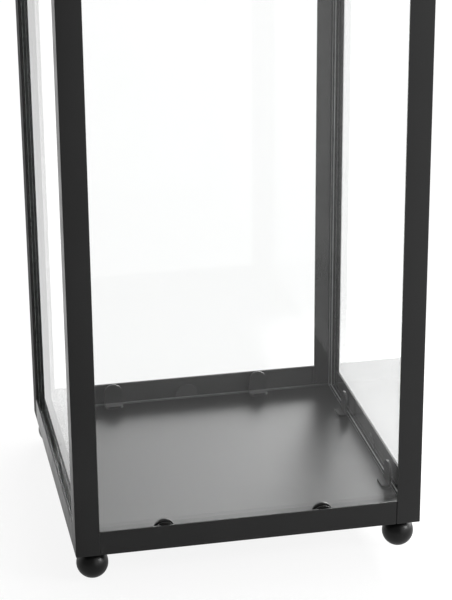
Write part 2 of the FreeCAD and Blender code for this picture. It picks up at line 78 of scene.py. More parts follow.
# How far a rail's left and right ends are moved to the left of the even spacing, in metres.
SEAMS = {("bottom", "front"): (0.3 * MM, 0.5 * MM)}
EDGE_BREAK = 0.35 * MM      # how far sharp edges are broken
# The panes' arrises carry a painted highlight; the right pane's is wider, for a brighter painted
# glint.
ARRIS_WIDTH = 0.35 * MM     # ground arris of the panes, and of the right one that glints
GLINT_WIDTH = 0.6 * MM
SMOOTH_ANGLE = math.radians(35)   # edges sharper than this stay sharp, and may be broken
FACING = 0.9                # a face looks along an axis if its normal's share of it is over this
SAME_PLACE = 0.001 * MM     # vertices nearer to each other than this are one
ON_AXIS = 0.0001 * MM       # a lathe's points nearer to its axis than this lie on it

low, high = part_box("bottom_rail_front")
STEEL = (high - low).y      # thickness of the sheet


# --- Materials -------------------------------------------------------------------------------

def add_node(tree, kind, **inputs):
    """A new node with some of its inputs set; a space in an input's name is written as _."""
    node = tree.nodes.new(kind)
    for key, value in inputs.items():
        node.inputs[key.replace("_", " ")].default_value = value
    return node


def grey(level):
    """A colour without a hue."""
    return (level, level, level)


class Nodes:
    """Short ways to add and join the nodes of one material."""

    def __init__(self, name):
        self.material = bpy.data.materials.new(name)
        self.material.use_nodes = True
        self.tree = self.material.node_tree
        self.tree.nodes.clear()
        self.output = self.add("ShaderNodeOutputMaterial")
        self.place = self.add("ShaderNodeTexCoord").outputs["Object"]

    def add(self, kind, **inputs):
        return add_node(self.tree, kind, **inputs)

    def join(self, source, target):
        self.tree.links.new(source, target)

    def noise(self, scale, detail=2.0, stretch=None):
        """Noise at a scale in cycles per metre, stretched along an axis if asked."""
        place = self.place
        if stretch:
            mapping = self.add("ShaderNodeMapping")
            mapping.inputs["Scale"].default_value = stretch
            self.join(place, mapping.inputs["Vector"])
            place = mapping.outputs["Vector"]
        node = self.add("ShaderNodeTexNoise", Scale=scale, Detail=detail)
        self.join(place, node.inputs["Vector"])
        return node.outputs["Fac"]

    def remap(self, value, low, high, start=0.3, end=0.7):
        """Goes from low to high as a value goes from start to end, by default a noise's reach."""
        node = self.add("ShaderNodeMapRange", From_Min=start, From_Max=end, To_Min=low, To_Max=high)
        self.join(value, node.inputs["Value"])
        return node.outputs["Result"]

    def blend(self, factor, first, second):
        """One colour turning into another as factor goes from 0 to 1."""
        node = self.add("ShaderNodeMix")
        node.data_type = "RGBA"
        low, high = (i for i in node.inputs if i.type == "RGBA")
        low.default_value = (*first, 1)
        high.default_value = (*second, 1)
        self.join(factor, node.inputs["Factor"])
        return next(o for o in node.outputs if o.type == "RGBA")

    def math(self, operation, first, second):
        """A Math node on two inputs, each a socket or a number."""
        node = self.add("ShaderNodeMath")
        node.operation = operation
        for given, target in zip((first, second), node.inputs):
            if isinstance(given, (int, float)):
                target.default_value = given
            else:
                self.join(given, target)
        return node.outputs["Value"]

    def bump(self, height, depth, under=None):
        """A bump of a real depth in metres, laid over another one if given."""
        node = self.add("ShaderNodeBump", Strength=1.0, Distance=depth)
        self.join(height, node.inputs["Height"])
        if under:
            self.join(under, node.inputs["Normal"])
        return node.outputs["Normal"]


def black_paint(name, dark, light, roughness, shine, peel=0.003 * MM,
                wave=0.0, uneven=0.12, grain=900, brushed=0.0):
    """Sprayed black paint on steel: orange peel, slow waves, and an uneven tone and sheen.

    A brushed plate blurs what it mirrors more to the sides than up and down.
    """
    n = Nodes(name)
    shader = n.add("ShaderNodeBsdfPrincipled")
    shader.inputs["Specular IOR Level"].default_value = shine
    patches = n.remap(n.noise(scale=14, detail=3), 0, 1)
    n.join(n.blend(patches, dark, light), shader.inputs["Base Color"])
    sheen = n.remap(n.noise(scale=60, detail=4),
                    roughness * (1 - uneven), roughness * (1 + uneven))
    n.join(sheen, shader.inputs["Roughness"])
    surface = n.bump(n.noise(scale=grain, detail=2), peel)
    if wave:
        surface = n.bump(n.noise(scale=11, detail=1), wave, surface)
    n.join(surface, shader.inputs["Normal"])
    if brushed:
        shader.inputs["Anisotropic"].default_value = brushed
        n.join(n.add("ShaderNodeCombineXYZ", X=1.0).outputs["Vector"], shader.inputs["Tangent"])
    n.join(shader.outputs["BSDF"], n.output.inputs["Surface"])
    return n.material


def bare_steel(name, colour, roughness):
    """Plain turned or drawn steel with fine lines."""
    n = Nodes(name)
    shader = n.add("ShaderNodeBsdfPrincipled", Metallic=1.0)
    lines = n.noise(scale=500, detail=3, stretch=(0.1, 3, 3))
    darker = tuple(c * 0.75 for c in colour)
    n.join(n.blend(n.remap(lines, 0, 1), darker, colour), shader.inputs["Base Color"])
    n.join(n.remap(n.noise(scale=150), roughness * 0.8, roughness * 1.2),
           shader.inputs["Roughness"])
    n.join(n.bump(lines, depth=0.004 * MM), shader.inputs["Normal"])
    n.join(shader.outputs["BSDF"], n.output.inputs["Surface"])
    return n.material


GLASS_INDEX = 1.5
GLASS_MIRROR = 0.85         # share of plain glass's mirroring that these clean panes show


def clear_glass(name, through, haze, ripple):
    """Float glass: each face lets most light straight through and mirrors more of it aslant."""
    n = Nodes(name)
    passing = n.add("ShaderNodeBsdfTransparent")
    passing.inputs["Color"].default_value = (*through, 1)
    mirror = n.add("ShaderNodeBsdfPrincipled", Metallic=1.0)
    mirror.inputs["Base Color"].default_value = (1, 1, 1, 1)
    n.join(n.remap(n.noise(scale=25, detail=3), 0.0, haze), mirror.inputs["Roughness"])
    n.join(n.bump(n.noise(scale=9, detail=1), ripple), mirror.inputs["Normal"])
    inside = n.add("ShaderNodeNewGeometry").outputs["Backfacing"]
    share = n.add("ShaderNodeFresnel")
    index = n.remap(inside, low=GLASS_INDEX, high=1 / GLASS_INDEX, start=0, end=1)
    n.join(index, share.inputs["IOR"])
    choose = n.add("ShaderNodeMixShader")
    n.join(n.math("MULTIPLY", share.outputs["Fac"], GLASS_MIRROR), choose.inputs["Fac"])
    n.join(passing.outputs["BSDF"], choose.inputs[1])
    n.join(mirror.outputs["BSDF"], choose.inputs[2])
    n.join(choose.outputs["Shader"], n.output.inputs["Surface"])
    return n.material


def ground_edge(name, dark, light, roughness):
    """The ground edge of a pane: frosted and a little green. Where its tones are light, they paint
    a highlight along the edge.
    """
    n = Nodes(name)
    shader = n.add("ShaderNodeBsdfPrincipled")
    shader.inputs["Specular IOR Level"].default_value = 0.5
    patches = n.remap(n.noise(scale=120, detail=3), 0, 1)
    n.join(n.blend(patches, dark, light), shader.inputs["Base Color"])
    n.join(n.remap(n.noise(scale=300), roughness * 0.8, roughness * 1.2),
           shader.inputs["Roughness"])
    n.join(n.bump(n.noise(scale=1500, detail=2), depth=0.02 * MM), shader.inputs["Normal"])
    n.join(shader.outputs["BSDF"], n.output.inputs["Surface"])
    return n.material


# The studio floor, which isn't part of the object. How much it glows depends on the place, in
# metres to the right (X) and to the back (Y), and on whether the camera looks at it.
SEEN_GREY = 0.12            # where the camera sees it
SEEN_LEAST = 0.88           # its glow, and what is added beside the lantern's right side
# What is added beside the lantern's right side is a painted pool of light on the floor.
SEEN_BESIDE = 0.25
BESIDE_FADE_X = (0.1, 0.15)
BESIDE_FADE_Y = (0.25, 0.4)
MIRRORED_GREY = 0.25        # where the lantern mirrors it or is lit by it
# The mirrored floor's dim glow in front and on the left is painted shade.
MIRRORED_LEAST = 0.1        # its glow in front on the left, and what the back and the right add
MIRRORED_BACK = 0.8
MIRRORED_RIGHT = 0.4
MIRRORED_FADE_Y = (-0.2, 0.22)
MIRRORED_FADE_X = (-0.4, 0.5)


def floor_shader(n, tone, glow):
    """A matt grey surface with some light of its own, whose strength is a socket."""
    shader = n.add("ShaderNodeBsdfPrincipled", Roughness=0.8)
    shader.inputs["Specular IOR Level"].default_value = 0.1
    patches = n.remap(n.noise(scale=3, detail=2), 0, 1)
    n.join(n.blend(patches, grey(tone * 0.97), grey(tone)), shader.inputs["Base Color"])
    shader.inputs["Emission Color"].default_value = (1, 1, 1, 1)
    n.join(glow, shader.inputs["Emission Strength"])
    return shader.outputs["BSDF"]


def pale_floor(name):
    """A pale studio floor: near white to look at, and dimmer in what the lantern mirrors.

    The mirrored floor is dimmest in front of the lantern, a painted shade, and brighter on its
    right. The floor that is seen is brightest beside the lantern's right side, a painted pool of
    light.
    """
    n = Nodes(name)
    place = n.add("ShaderNodeSeparateXYZ")
    n.join(n.place, place.inputs["Vector"])
    right, back = place.outputs["X"], place.outputs["Y"]
    depth = n.remap(back, 0, MIRRORED_BACK, *MIRRORED_FADE_Y)
    side = n.remap(right, 0, MIRRORED_RIGHT, *MIRRORED_FADE_X)
    mirrored = n.math("ADD", n.math("ADD", depth, side), MIRRORED_LEAST)
    near = n.remap(back, 1, 0, *BESIDE_FADE_Y)
    beside = n.math("MULTIPLY", n.remap(right, 0, SEEN_BESIDE, *BESIDE_FADE_X), near)
    seen = n.math("ADD", beside, SEEN_LEAST)
    choose = n.add("ShaderNodeMixShader")
    n.join(n.add("ShaderNodeLightPath").outputs["Is Camera Ray"], choose.inputs["Fac"])
    n.join(floor_shader(n, MIRRORED_GREY, mirrored), choose.inputs[1])
    n.join(floor_shader(n, SEEN_GREY, seen), choose.inputs[2])
    n.join(choose.outputs["Shader"], n.output.inputs["Surface"])
    return n.material


FRAME_PAINT = black_paint("frame_paint", grey(0.008), grey(0.011), roughness=0.36, shine=0.45)
# A duller copy of the frame paint for the back posts, so that they mirror less of the bright
# surround: painted shade.
SHADED_BACK_POST_PAINT = black_paint("shaded_back_post_paint", grey(0.010), grey(0.014),
                              roughness=0.8, shine=0.3)
# A lighter, glossier copy of the paint for all broken edges; its lighter tone is a painted
# highlight along them.
EDGE_PAINT = black_paint("edge_highlight_paint", grey(0.012), grey(0.02),
                         roughness=0.25, shine=0.7, peel=0.002 * MM)
# A lighter paint on the rails' inner faces.
LIGHTER_INNER_PAINT = black_paint("lighter_inner_paint", grey(0.024), grey(0.03),
                          roughness=0.38, shine=0.45)
# A lighter copy of the black paint for the outer stops on the back and the sides, so that they read
# lighter than the rails: painted light.
STOP_PAINT = black_paint("stop_paint", grey(0.042), grey(0.052), roughness=0.4, shine=0.5)
# A darker, duller copy for the stops on the front, and a near black for their broken edges: painted
# shade on the stops and a painted shadow line along their tops.
SHADED_FRONT_STOP_PAINT = black_paint("front_stop_paint", grey(0.01), grey(0.014),
                               roughness=0.65, shine=0.12)
FRONT_STOP_SHADOW_EDGE = black_paint("front_stop_edge", grey(0.002), grey(0.004),
                              roughness=0.75, shine=0.05)
TAB_PAINT = black_paint("tab_paint", grey(0.016), grey(0.022), roughness=0.4, shine=0.4)
TAB_EDGE_PAINT = black_paint("tab_edge_paint", grey(0.012), grey(0.018),
                             roughness=0.4, shine=0.35)
# A much lighter, glossier copy of the tab paint for the feet of the back tabs only: painted light
# on them.
LIT_TAB_FOOT_PAINT = black_paint("lit_tab_foot_paint", grey(0.08), grey(0.12),
                             roughness=0.35, shine=0.6)
ROOF_PAINT = black_paint("roof_paint", (0.005, 0.005, 0.0055), (0.009, 0.009, 0.0095),
                         roughness=0.36, shine=0.35, peel=0.008 * MM, wave=0.15 * MM)
PLATE_PAINT = black_paint("plate_gloss", grey(0.009), grey(0.011), roughness=0.32, shine=0.6,
                          peel=0.001 * MM, uneven=0.03, grain=60, brushed=0.65)
FOOT_PAINT = black_paint("foot_paint", grey(0.003), grey(0.006),
                         roughness=0.3, shine=0.35, peel=0.004 * MM)
HARDWARE = black_paint("hardware_black", grey(0.008), grey(0.014),
                       roughness=0.3, shine=0.5, peel=0.005 * MM)
PIN_STEEL = bare_steel("pin_steel", (0.42, 0.42, 0.43), roughness=0.3)
PANE = clear_glass("pane_clear", through=(0.996, 0.998, 0.997), haze=0.02, ripple=0.01 * MM)
# Light tones on the panes' arrises: a painted highlight along their edges, brightest as the right
# pane's painted glint.
PANE_ARRIS_HIGHLIGHT = ground_edge("pane_arris_highlight", (0.26, 0.28, 0.27), (0.36, 0.38, 0.37), roughness=0.35)
PANE_GLINT = ground_edge("pane_glint", (0.75, 0.77, 0.76), (0.85, 0.87, 0.86), roughness=0.25)
PANE_EDGE = ground_edge("pane_edge", (0.03, 0.034, 0.032), (0.045, 0.05, 0.048), roughness=0.3)


# --- Mesh tools ------------------------------------------------------------------------------

def oval(centre, wide, tall, start, end, steps):
    """Points along an ellipse with two half axes, between two angles in degrees."""
    angles = [math.radians(start + (end - start) * i / steps) for i in range(steps + 1)]
    return [(centre[0] + wide * math.cos(a), centre[1] + tall * math.sin(a)) for a in angles]


def arc(centre, radius, start, end, steps):
    """Points along a circle, between two angles in degrees."""
    return oval(centre, radius, radius, start, end, steps)


def rounded_square(half, radius):
    """The outline of a square with rounded corners, anticlockwise."""
    inner = half - radius
    signs = [(1, 1), (-1, 1), (-1, -1), (1, -1)]
    return [p for i, (x, y) in enumerate(signs)
            for p in arc((x * inner, y * inner), radius, 90 * i, 90 * i + 90, steps=5)]


def rectangle(low, high):
    """The outline of a box seen from above, anticlockwise."""
    return [(low[0], low[1]), (high[0], low[1]), (high[0], high[1]), (low[0], high[1])]


def loop(bm, outline, z):
    """A ring of vertices at one level."""
    return [bm.verts.new((x, y, z)) for x, y in outline]


def skin(bm, first, second):
    """Faces between two rings with the same number of vertices."""
    count = len(first)
    for i in range(count):
        bm.faces.new((first[i], first[(i + 1) % count], second[(i + 1) % count], second[i]))


def prism(outline, low, high):
    """An outline raised between two levels."""
    bm = bmesh.new()
    bottom, top = loop(bm, outline, low), loop(bm, outline, high)
    skin(bm, bottom, top)
    bm.faces.new(reversed(bottom))
    bm.faces.new(top)
    return bm


def stack(levels, closed_top=False):
    """A shell lofted through (outline, level) pairs, back to the first unless its top is closed."""
    bm = bmesh.new()
    rings = [loop(bm, outline, z) for outline, z in levels]
    for first, second in zip(rings, rings[1:]):
        skin(bm, first, second)
    if closed_top:
        bm.faces.new(rings[-1])
        bm.faces.new(reversed(rings[0]))
    else:
        skin(bm, rings[-1], rings[0])
    return bm


def square_frame(low_z, high_z, outer, inner):
    """A frame between two rounded squares, each given as half its width and its corner radius."""
    return stack([(rounded_square(*outer), low_z), (rounded_square(*outer), high_z),
                  (rounded_square(*inner), high_z), (rounded_square(*inner), low_z)])


def lathe(profile, centre, axis="Z", steps=48):
    """A profile of (radius, height) points turned about an axis through a centre."""
    bm = bmesh.new()
    rings = []
    for radius, height in profile:
        if radius < ON_AXIS:
            rings.append([bm.verts.new((0, 0, height))])
            continue
        rings.append([bm.verts.new((radius * math.cos(2 * math.pi * i / steps),
                                    radius * math.sin(2 * math.pi * i / steps), height))
                      for i in range(steps)])
    for first, second in zip(rings, rings[1:]):
        for i in range(steps):
            corners = [first[i % len(first)], first[(i + 1) % len(first)],
                       second[(i + 1) % len(second)], second[i % len(second)]]
            bm.faces.new(list(dict.fromkeys(corners)))
    turn = {"X": Matrix.Rotation(math.radians(90), 4, "Y"),
            "Y": Matrix.Rotation(math.radians(-90), 4, "X"), "Z": Matrix.Identity(4)}[axis]
    bmesh.ops.transform(bm, matrix=Matrix.Translation(centre) @ turn, verts=bm.verts)
    return bm


def dome(radius, top, rise):
    """The profile of a domed end, from its rim up to the middle of its top."""
    return oval((0, top - rise), radius, rise, 0, 75, 5) + [(0.0, top)]


def upside_down(profile):
    """A profile mirrored below its zero height, and still told from the bottom up."""
    return [(radius, -height) for radius, height in reversed(profile)]


def merged(*parts):
    """Several meshes as one."""
    whole = bmesh.new()
    for part in parts:
        mesh = bpy.data.meshes.new("part")
        part.to_mesh(mesh)
        part.free()
        whole.from_mesh(mesh)
        bpy.data.meshes.remove(mesh)
    return whole


def upright(bm):
    """Stands a mesh drawn flat on its X and Y up, so that its Y becomes Z and its Z becomes -Y."""
    bmesh.ops.transform(bm, matrix=Matrix.Rotation(math.radians(90), 4, "X"), verts=bm.verts)
    return bm


def piece(name, bm, materials, body, nodes, quarter=0, edge=EDGE_BREAK):
    """Turns a mesh into a finished piece that rides on a body and stands for CAD nodes.

    The mesh is drawn on the front side and turned by quarters to its own. A second material is
    that of its broken edges.
    """
    turn = Matrix.Rotation(math.radians(90 * quarter), 4, "Z")
    bmesh.ops.transform(bm, matrix=turn, verts=bm.verts)
    bmesh.ops.recalc_face_normals(bm, faces=bm.faces)
    mesh = bpy.data.meshes.new(name)
    bm.to_mesh(mesh)
    bm.free()
    for material in materials:
        mesh.materials.append(material)
    mesh.polygons.foreach_set("use_smooth", [True] * len(mesh.polygons))
    mesh.set_sharp_from_angle(angle=SMOOTH_ANGLE)
    made = bpy.data.objects.new(name, mesh)
    bpy.context.scene.collection.objects.link(made)
    if edge:
        bevel = made.modifiers.new("edges", "BEVEL")
        bevel.width = edge
        bevel.segments = 3
        bevel.limit_method = "ANGLE"
        bevel.angle_limit = SMOOTH_ANGLE
        bevel.harden_normals = True
        if len(materials) > 1:
            bevel.material = 1
    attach(made, body)
    if nodes:
        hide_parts(*nodes)


def cad_copy(node):
    """A CAD node's own mesh with its flat faces whole again, ready to have its edges broken."""
    bm = bmesh.new()
    bm.from_mesh(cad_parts[node].data)
    bmesh.ops.remove_doubles(bm, verts=bm.verts, dist=SAME_PLACE)
    bmesh.ops.dissolve_limit(bm, angle_limit=math.radians(1), verts=bm.verts, edges=bm.edges)
    for face in bm.faces:
        face.material_index = 0
    return bm


def front_box(node, quarter):
    """A node's box turned back to where it would be on the front side."""
    back = Matrix.Rotation(math.radians(-90 * quarter), 3, "Z")
    first, second = (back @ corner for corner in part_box(node))
    return Vector(map(min, first, second)), Vector(map(max, first, second))


# --- Frame -----------------------------------------------------------------------------------

def angle_outline(low, high):
    """The section of a folded angle whose corner is at low, with a rounded outer fold."""
    fold, inner = FOLD_RADIUS, INNER_FOLD
    x, y = low.x, low.y
    return (arc((x + fold, y + fold), fold, 180, 270, 6)
            + [(high.x, y), (high.x, y + STEEL)]
            + arc((x + STEEL + inner, y + STEEL + inner), inner, 270, 180, 4)
            + [(x + STEEL, high.y), (x, high.y)])


for quarter, corner in enumerate(CORNERS):
    low, high = front_box("post_" + corner, quarter)
    # The back posts take the duller copy of the paint: painted shade.
    paint = SHADED_BACK_POST_PAINT if corner.startswith("back") else FRAME_PAINT
    piece("angle_post_" + corner, prism(angle_outline(low, high), low.z, high.z),
          [paint, EDGE_PAINT], "frame", ["post_" + corner], quarter)


def weld_bead(seam_x, inner_y, low_z, high_z):
    """A low rounded bead along a seam, sunk into the steel behind it."""
    half, back_y = BEAD_WIDTH / 2, inner_y - BEAD_SUNK
    crest = oval((seam_x, inner_y), half, BEAD_RISE, 0, 180, 12)
    return prism([(seam_x - half, back_y), (seam_x + half, back_y)] + crest, low_z, high_z)


def flat_rail(low, high, left_gap, right_gap):
    """A flat bar whose inner face takes the third material."""
    bm = prism(rectangle((low.x - left_gap, low.y), (high.x - right_gap, high.y)),
               low.z, high.z)
    for face in bm.faces:
        face.normal_update()
        inside = abs(face.normal.y) > FACING and face.calc_center_median().y > low.y + STEEL / 2
        face.material_index = 2 if inside else 0
    return bm


for level in ("bottom", "top"):
    for quarter, side in enumerate(SIDES):
        node = "%s_rail_%s" % (level, side)
        low, high = front_box(node, quarter)
        left_gap, right_gap = SEAMS.get((level, side), (0.0, 0.0))
        piece("flat_rail_%s_%s" % (level, side), flat_rail(low, high, left_gap, right_gap),
              [FRAME_PAINT, EDGE_PAINT, LIGHTER_INNER_PAINT], "frame", [node], quarter)
        beads = [weld_bead(x, high.y, low.z + EDGE_BREAK, high.z - EDGE_BREAK)
                 for x in (low.x, high.x)]
        piece("weld_beads_%s_%s" % (level, side), merged(*beads), [FRAME_PAINT], "frame", [],
              quarter, edge=0)

low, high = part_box("floor_plate")
reach = 0.1 * MM                # the plate is welded in, so it touches the rails all round
outline = rectangle((low.x - reach, low.y - reach), (high.x + reach, high.y + reach))
piece("base_plate", prism(outline, low.z, high.z),
      [PLATE_PAINT, EDGE_PAINT], "frame", ["floor_plate"])

low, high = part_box("top_plate")
MOUTH = (115 * MM, 3 * MM)      # half width and corner radius of the opening
piece("mouth_plate", square_frame(low.z, high.z, (high.x, 0.5 * MM), MOUTH),
      [FRAME_PAINT, EDGE_PAINT], "frame", ["top_plate"])


# --- Ball feet -------------------------------------------------------------------------------

def ball_profile(radius, flat):
    """Half a ball from its worn flat up to its top."""
    start = -math.degrees(math.asin((radius - flat) / radius))
    curve = arc((0, 0), radius, start, 90, 40)
    return [(0.0, flat - radius)] + curve[:-1] + [(0.0, radius)]


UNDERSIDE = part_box("floor_plate")[0].z
for corner in CORNERS:
    node = "ball_foot_" + corner
    low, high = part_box(node)
    radius = (high.x - low.x) / 2
    centre = Vector(((low.x + high.x) / 2, (low.y + high.y) / 2, UNDERSIDE - radius))
    piece("foot_" + corner, lathe(ball_profile(radius, 2 * radius - UNDERSIDE), centre, steps=64),
          [FOOT_PAINT], "frame", [node], edge=0.15 * MM)

stud_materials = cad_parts["foot_studs"].data.materials
stud_materials.clear()
stud_materials.append(PIN_STEEL)


# --- Glass and what holds it -----------------------------------------------------------------

def pane_mesh(low, high):
    """A pane whose two big faces take the first material and whose narrow edges the third one."""
    bm = prism(rectangle(low, high), low.z, high.z)
    for face in bm.faces:
        face.normal_update()
        face.material_index = 0 if abs(face.normal.y) > FACING else 2
    return bm


for quarter, side in enumerate(SIDES):
    node = "glass_" + side
    low, high = front_box(node, quarter)
    # Each pane's arris carries a painted highlight, the right one a wider and brighter painted
    # glint.
    arris, width = (PANE_GLINT, GLINT_WIDTH) if side == "right" else (PANE_ARRIS_HIGHLIGHT, ARRIS_WIDTH)
    piece("pane_" + side, pane_mesh(low, high), [PANE, arris, PANE_EDGE], "frame", [node],
          quarter, edge=width)


def tab_stations(height, foot):
    """A tab's inner face from its toe to its round end, as (out, up, half width) stations."""
    half = TAB_WIDTH / 2
    toe = [(foot - TAB_TOE * (1 - math.cos(math.radians(a))), 0.0,
            half - TAB_TOE * (1 - math.sin(math.radians(a)))) for a in range(0, 91, 15)]
    bend = [(TAB_BEND * (1 - math.sin(math.radians(a))), TAB_BEND * (1 - math.cos(math.radians(a))),
             half) for a in range(0, 91, 15)]
    straight = height - half
    end = [(0.0, straight + half * math.sin(math.radians(a)), half * math.cos(math.radians(a)))
           for a in range(0, 89, 8)]
    return toe + bend + end


def bent_tab(middle, face, plate, height, foot, way):
    """A strip with a round end, bent up from its foot; way is 1 on the floor, -1 under the top."""
    stations = tab_stations(height, foot)
    bm = bmesh.new()
    rows = []
    for index, (out, up, wide) in enumerate(stations):
        ahead = stations[min(index + 1, len(stations) - 1)]
        behind = stations[max(index - 1, 0)]
        along = Vector((ahead[0] - behind[0], ahead[1] - behind[1])).normalized()
        rows.append([bm.verts.new((middle + side * wide, face + out + along.y * depth,
                                   plate + way * (up - along.x * depth)))
                     for depth in (0.0, STEEL) for side in (-1, 1)])
    for a, b, (_, up, _) in zip(rows, rows[1:], stations):
        sides = [(a[0], a[1], b[1], b[0]), (a[2], b[2], b[3], a[3]),
                 (a[0], b[0], b[2], a[2]), (a[1], a[3], b[3], b[1])]
        for corners in sides:
            bm.faces.new(corners).material_index = 2 if up < TAB_BEND / 2 else 0
    for end in (rows[0], rows[-1]):
        bm.faces.new((end[0], end[1], end[3], end[2]))
    return bm


def stop_plate(middle, size, plate, low_y, high_y, way):
    """An upright plate with two rounded free corners, between two distances from the middle."""
    half, height = size[0] / 2, size[1]
    corner = half - STOP_CROWN
    shoulder = height - corner
    curve = (arc((STOP_CROWN, shoulder), corner, 0, 90, 12)
             + arc((-STOP_CROWN, shoulder), corner, 90, 180, 12))
    outline = [(middle + x, plate + way * z) for x, z in [(-half, 0.0), (half, 0.0)] + curve]
    return upright(prism(outline, -high_y, -low_y))


for level, way in (("bottom", 1), ("top", -1)):
    for quarter, side in enumerate(SIDES):
        node = "%s_tabs_%s" % (level, side)
        low, high = front_box(node, quarter)
        plate = low.z if way > 0 else high.z
        middles = (low.x + TAB_WIDTH / 2, high.x - TAB_WIDTH / 2)
        tabs = [bent_tab(middle, low.y, plate, high.z - low.z, high.y - low.y, way)
                for middle in middles]
        # Only the feet of the back tabs take the lighter copy: painted light.
        foot_paint = LIT_TAB_FOOT_PAINT if side == "back" else TAB_PAINT
        piece("glass_tabs_%s_%s" % (level, side), merged(*tabs),
              [TAB_PAINT, TAB_EDGE_PAINT, foot_paint], "frame", [node],
              quarter, edge=0.4 * MM)
        node = "%s_stop_%s" % (level, side)
        low, high = front_box(node, quarter)
        stops = [stop_plate(0.0, LOW_STOP, plate, low.y, high.y, way)]
        # The stops on the back and the sides take the lighter copy: painted light.
        paints = [STOP_PAINT, EDGE_PAINT]
        # The front stops take the darker copy with near black edges: painted shade and a painted
        # shadow line.
        if side == "front":
            stops += [stop_plate(x, TALL_STOP, plate, low.y, high.y, way) for x in middles]
            paints = [SHADED_FRONT_STOP_PAINT, FRONT_STOP_SHADOW_EDGE]
        piece("glass_stop_%s_%s" % (level, side), merged(*stops), paints,
              "frame", [node], quarter, edge=0.25 * MM)


# --- Roof ------------------------------------------------------------------------------------

low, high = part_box("roof_band")
piece("roof_skirt", square_frame(low.z, high.z, (high.x, FOLD_RADIUS),
                                 (high.x - STEEL, 0.3 * MM)),
      [ROOF_PAINT, EDGE_PAINT], "roof", ["roof_band"])

low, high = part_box("eave_plate")
EAVE_OPENING = (128 * MM, 2 * MM)   # half width and corner radius
piece("eave_sheet", square_frame(low.z, high.z, (high.x, 1.5 * MM), EAVE_OPENING),
      [ROOF_PAINT, EDGE_PAINT], "roof", ["eave_plate"], edge=0.5 * MM)

low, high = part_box("roof_shell")
VENT_HALF = 32 * MM
SHELL_WALL = 3.2 * MM           # the sloping sheet's wall, measured level
piece("hipped_roof", stack([(rounded_square(high.x, 2 * MM), low.z),
                            (rounded_square(VENT_HALF, 1.5 * MM), high.z),
                            (rounded_square(VENT_HALF - SHELL_WALL, 0.5 * MM), high.z),
                            (rounded_square(high.x - SHELL_WALL, 0.5 * MM), low.z)]),
      [ROOF_PAINT, EDGE_PAINT], "roof", ["roof_shell"], edge=0.4 * MM)


def slotted_panel(half, wall, columns, rows, slots):
    """The front side of a square tube with mitred ends, cut through at the given cells."""
    bm = bmesh.new()
    inner_columns = [max(min(x, half - wall), wall - half) for x in columns]
    outer = [[bm.verts.new((x, -half, z)) for x in columns] for z in rows]
    inner = [[bm.verts.new((x, wall - half, z)) for x in inner_columns] for z in rows]

    def reveal(start, end):
        """A face through the wall between two grid corners."""
        (r, c), (s, d) = start, end
        bm.faces.new((outer[r][c], outer[s][d], inner[s][d], inner[r][c]))

    for r in range(len(rows) - 1):
        for c in range(len(columns) - 1):
            if (c, r) in slots:
                for start, end in (((r, c), (r + 1, c)), ((r, c + 1), (r + 1, c + 1)),
                                   ((r, c), (r, c + 1)), ((r + 1, c), (r + 1, c + 1))):
                    reveal(start, end)
                continue
            for grid in (outer, inner):
                bm.faces.new((grid[r][c], grid[r][c + 1], grid[r + 1][c + 1], grid[r + 1][c]))
            if r == 0:
                reveal((0, c), (0, c + 1))
            if r == len(rows) - 2:
                reveal((r + 1, c), (r + 1, c + 1))
    return bm


def square_tube(panel):
    """Four turned copies of a mitred panel, joined at the corners."""
    turned = []
    for quarter in range(4):
        side = panel.copy()
        bmesh.ops.transform(side, matrix=Matrix.Rotation(math.radians(90 * quarter), 4, "Z"),
                            verts=side.verts)
        turned.append(side)
    panel.free()
    tube = merged(*turned)
    bmesh.ops.remove_doubles(tube, verts=tube.verts, dist=SAME_PLACE)
    return tube


low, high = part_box("vent_collar")
VENT_SHEET = 1.5 * MM
SLOT_WIDTH, SLOT_PITCH, SLOT_LIFT, SLOT_HEIGHT = 6 * MM, 16 * MM, 4 * MM, 14 * MM
SLOT_CELLS = {(1, 1), (3, 1), (5, 1)}   # column and row of the three slots in the panel's grid
slot_edges = [place * SLOT_PITCH + sign * SLOT_WIDTH / 2
              for place in (-1, 0, 1) for sign in (-1, 1)]
panel = slotted_panel(high.x, VENT_SHEET, [low.x] + slot_edges + [high.x],
                      [low.z, low.z + SLOT_LIFT, low.z + SLOT_LIFT + SLOT_HEIGHT, high.z],
                      SLOT_CELLS)
piece("slotted_collar", square_tube(panel), [ROOF_PAINT, EDGE_PAINT], "roof",
      ["vent_collar"], edge=0.2 * MM)

low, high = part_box("vent_cap")
CAP_TOP = (10 * MM, 1 * MM)     # half width and corner radius of the cap's flat top
LIP = 6 * MM
CAP_SLOPE = (high.z - low.z - LIP) / (high.x - CAP_TOP[0])
CAP_SKIN = VENT_SHEET * math.sqrt(1 + CAP_SLOPE ** 2)
lip_outside = rounded_square(high.x, 1.5 * MM)
lip_inside = rounded_square(high.x - VENT_SHEET, 0.4 * MM)
piece("cap", stack([(rounded_square(*CAP_TOP), high.z - CAP_SKIN),
                    (lip_inside, low.z + LIP + VENT_SHEET * CAP_SLOPE - CAP_SKIN),
                    (lip_inside, low.z),
                    (lip_outside, low.z),
                    (lip_outside, low.z + LIP),
                    (rounded_square(*CAP_TOP), high.z)], closed_top=True),
      [ROOF_PAINT, EDGE_PAINT], "roof", ["vent_cap"], edge=0.3 * MM)

low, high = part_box("ring_boss")
BOSS_BULGE = 0.8 * MM           # how far the boss's rounded side stands out
boss_height = high.z - low.z
bulge = oval((high.x - BOSS_BULGE, boss_height / 2), BOSS_BULGE, boss_height / 2, -90, 90, 12)
piece("boss", lathe([(0.0, 0.0)] + bulge + [(0.0, boss_height)], Vector((0, 0, low.z))),
      [ROOF_PAINT], "roof", ["ring_boss"], edge=0)
piece("eye", cad_copy("ring_eye"), [ROOF_PAINT, EDGE_PAINT], "roof", ["ring_eye"],
      edge=0.6 * MM)


